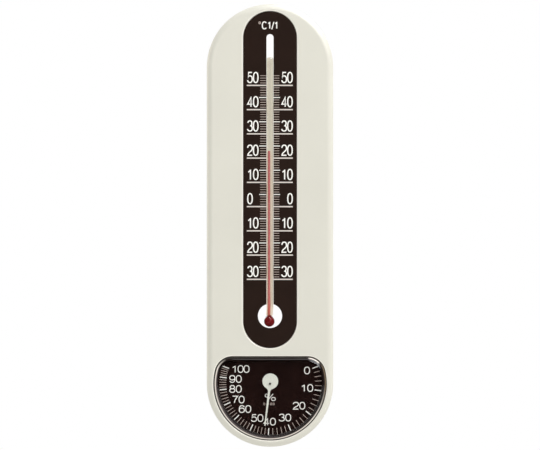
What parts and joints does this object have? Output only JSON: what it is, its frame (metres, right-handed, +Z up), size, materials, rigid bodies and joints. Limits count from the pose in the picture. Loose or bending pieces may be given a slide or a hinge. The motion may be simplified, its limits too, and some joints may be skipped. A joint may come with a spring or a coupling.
{
  "type": "thermo-hygrometer",
  "caption": "Wall-hung thermo-hygrometer: long ivory case, red spirit tube on a dark scale plate, and a dial hygrometer behind a clear D-shaped window.",
  "frame": {"origin": "seat of the wall screw in the keyhole, on the wall plane", "axes": "+Z up along the case, -Y out of the front face, +X to the right seen from the front"},
  "size_m": [0.08, 0.0175, 0.28],
  "materials": {
    "ivory_plastic": "moulded ivory ABS, fine satin grain",
    "dark_print": "dark brown printed sheet, satin",
    "tube_glass": "clear drawn glass",
    "cream_enamel": "cream enamel fused to the stem's back",
    "red_spirit": "dyed red spirit",
    "white_plastic": "off-white moulded plastic",
    "clear_plastic": "clear moulded polystyrene, polished",
    "steel": "plain steel",
    "brass": "turned or stamped brass",
    "cream_paint": "off-white paint on thin aluminium",
    "sensor_strip": "metal strip with a tan moisture-sensitive film"
  },
  "bodies": {
    "root": {"case_shell": "ivory_plastic", "back_frame": "ivory_plastic", "hanger_plate": "steel", "scale_plate": "dark_print", "thermometer_tube": "tube_glass", "enamel_strip": "cream_enamel", "bulb_spirit": "red_spirit", "tube_clip_upper": "white_plastic", "tube_clip_middle": "white_plastic", "tube_clip_lower": "white_plastic", "window_cover": "clear_plastic", "humidity_dial": "dark_print", "dial_backplate": "white_plastic", "backplate_screw_left": "steel", "backplate_screw_right": "steel", "front_bush": "brass", "movement_bridge": "brass", "bridge_screw_left": "steel", "bridge_screw_right": "steel", "rear_bush": "brass", "movement_cap": "white_plastic", "cap_screw_left": "steel", "cap_screw_right": "steel"},
    "spirit": {"spirit_column": "red_spirit"},
    "regulator": {"regulator_arm": "brass", "coil_stud": "steel", "humidity_coil": "sensor_strip"},
    "hand": {"humidity_hand": "cream_paint", "hand_arbor": "steel", "coil_collet": "brass"}
  },
  "joints": [
    {"name": "spirit_rise", "type": "slide", "parent": "root", "child": "spirit", "axis": [0, 0, 1], "range_m": [-0.08112, 0.04133], "stiffness_N_per_m": 5, "deforming": ["spirit_column"]},
    {"name": "regulator_turn", "type": "hinge", "parent": "root", "child": "regulator", "pos_m": [0, -0.0035, -0.2325], "axis": [0, 1, 0], "range_deg": [-12, 12]},
    {"name": "hand_turn", "type": "hinge", "parent": "regulator", "child": "hand", "pos_m": [0, -0.0135, -0.2325], "axis": [0, 1, 0], "range_deg": [-117.5, 104.4], "stiffness_Nm_per_rad": 0.0002, "deforming": ["humidity_coil"]}
  ]
}
